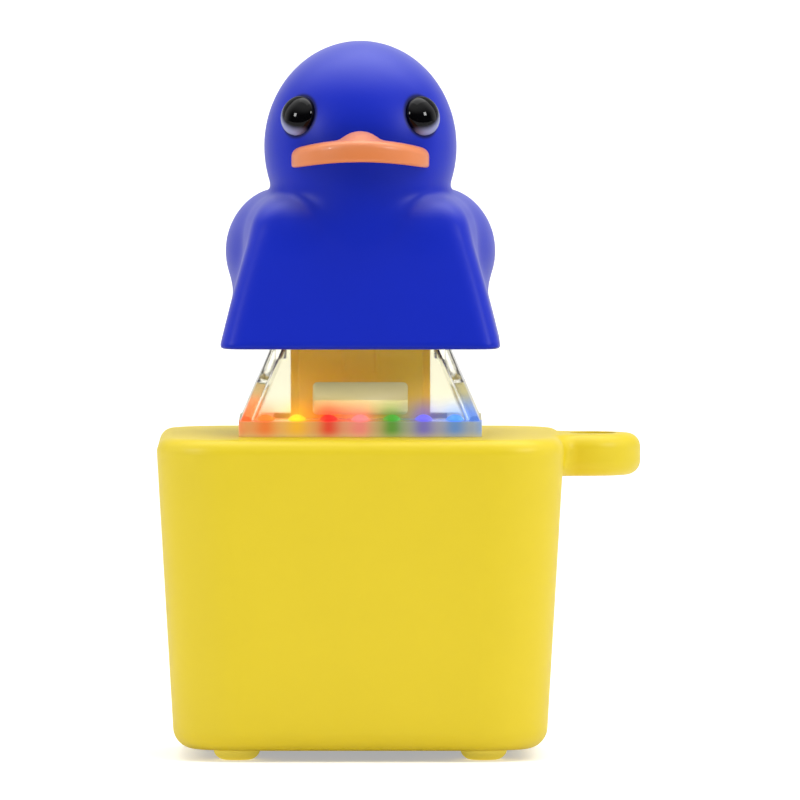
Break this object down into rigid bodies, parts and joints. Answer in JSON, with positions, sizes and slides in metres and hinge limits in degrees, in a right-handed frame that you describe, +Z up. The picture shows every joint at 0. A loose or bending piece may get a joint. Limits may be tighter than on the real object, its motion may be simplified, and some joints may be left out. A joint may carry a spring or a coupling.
{
  "type": "duck key-switch clicker",
  "caption": "Fidget clicker for a key ring: a duck-shaped key on a clear mechanical switch with a row of coloured lamps, on a rounded battery base with a ring lug.",
  "frame": {"origin": "on the key's axis, in the plane that the four feet stand on", "axes": "+Z up along the key's travel, the duck faces -Y, the key-ring lug points to +X"},
  "size_m": [0.031, 0.026, 0.046],
  "materials": {
    "base_plastic": "fine matt, moulded",
    "foot_rubber": "soft, matt",
    "blue_plastic": "smooth satin",
    "core_plastic": "plain",
    "bill_plastic": "smooth satin",
    "eye_plastic": "high gloss",
    "clear_plastic": "clear, polished",
    "flange_plastic": "plain, natural",
    "stem_plastic": "satin",
    "spring_steel": "bright wire",
    "contact_brass": "bright",
    "screw_steel": "zinc plated",
    "cell_steel": "nickel plated",
    "holder_plastic": "plain",
    "board": "solder mask",
    "chip": "moulded",
    "strip_board": "white solder mask",
    "lamp_orange": "tinted lens",
    "lamp_amber": "tinted lens",
    "lamp_red": "tinted lens",
    "lamp_pink": "tinted lens",
    "lamp_green": "tinted lens",
    "lamp_violet": "tinted lens",
    "lamp_blue": "tinted lens"
  },
  "bodies": {
    "base": {"base_shell": "base_plastic", "bottom_cover": "base_plastic", "foot_front_left": "foot_rubber", "foot_front_right": "foot_rubber", "foot_back_left": "foot_rubber", "foot_back_right": "foot_rubber", "cover_screws": "screw_steel", "board_screws": "screw_steel", "button_cell_lower": "cell_steel", "button_cell_middle": "cell_steel", "button_cell_upper": "cell_steel", "battery_holder": "holder_plastic", "positive_strap": "spring_steel", "negative_strap": "spring_steel", "main_board": "board", "driver_chip": "chip", "chip_resistors": "chip", "lower_housing": "flange_plastic", "upper_housing": "clear_plastic", "return_spring": "spring_steel", "fixed_contact": "contact_brass", "leaf_terminal": "contact_brass", "light_strip": "strip_board", "lamp_orange": "lamp_orange", "lamp_amber": "lamp_amber", "lamp_red": "lamp_red", "lamp_pink": "lamp_pink", "lamp_green": "lamp_green", "lamp_violet": "lamp_violet", "lamp_blue": "lamp_blue"},
    "key": {"stem": "stem_plastic", "duck_shell": "blue_plastic", "keycap_core": "core_plastic", "left_eye": "eye_plastic", "right_eye": "eye_plastic", "bill": "bill_plastic"},
    "leaf": {"contact_leaf": "contact_brass"}
  },
  "joints": [
    {"name": "key_press", "type": "slide", "parent": "base", "child": "key", "axis": [0, 0, -1], "range_m": [0, 0.004], "stiffness_N_per_m": 70, "springref_m": -0.005, "deforming": ["return_spring"]},
    {"name": "leaf_flex", "type": "hinge", "parent": "base", "child": "leaf", "pos_m": [0, 0.0046, 0.0171], "axis": [1, 0, 0], "range_deg": [0, 3.9]}
  ],
  "couplings": [
    {"joint": "leaf_flex", "follows": "key_press", "rad_per_m": 16.5}
  ]
}
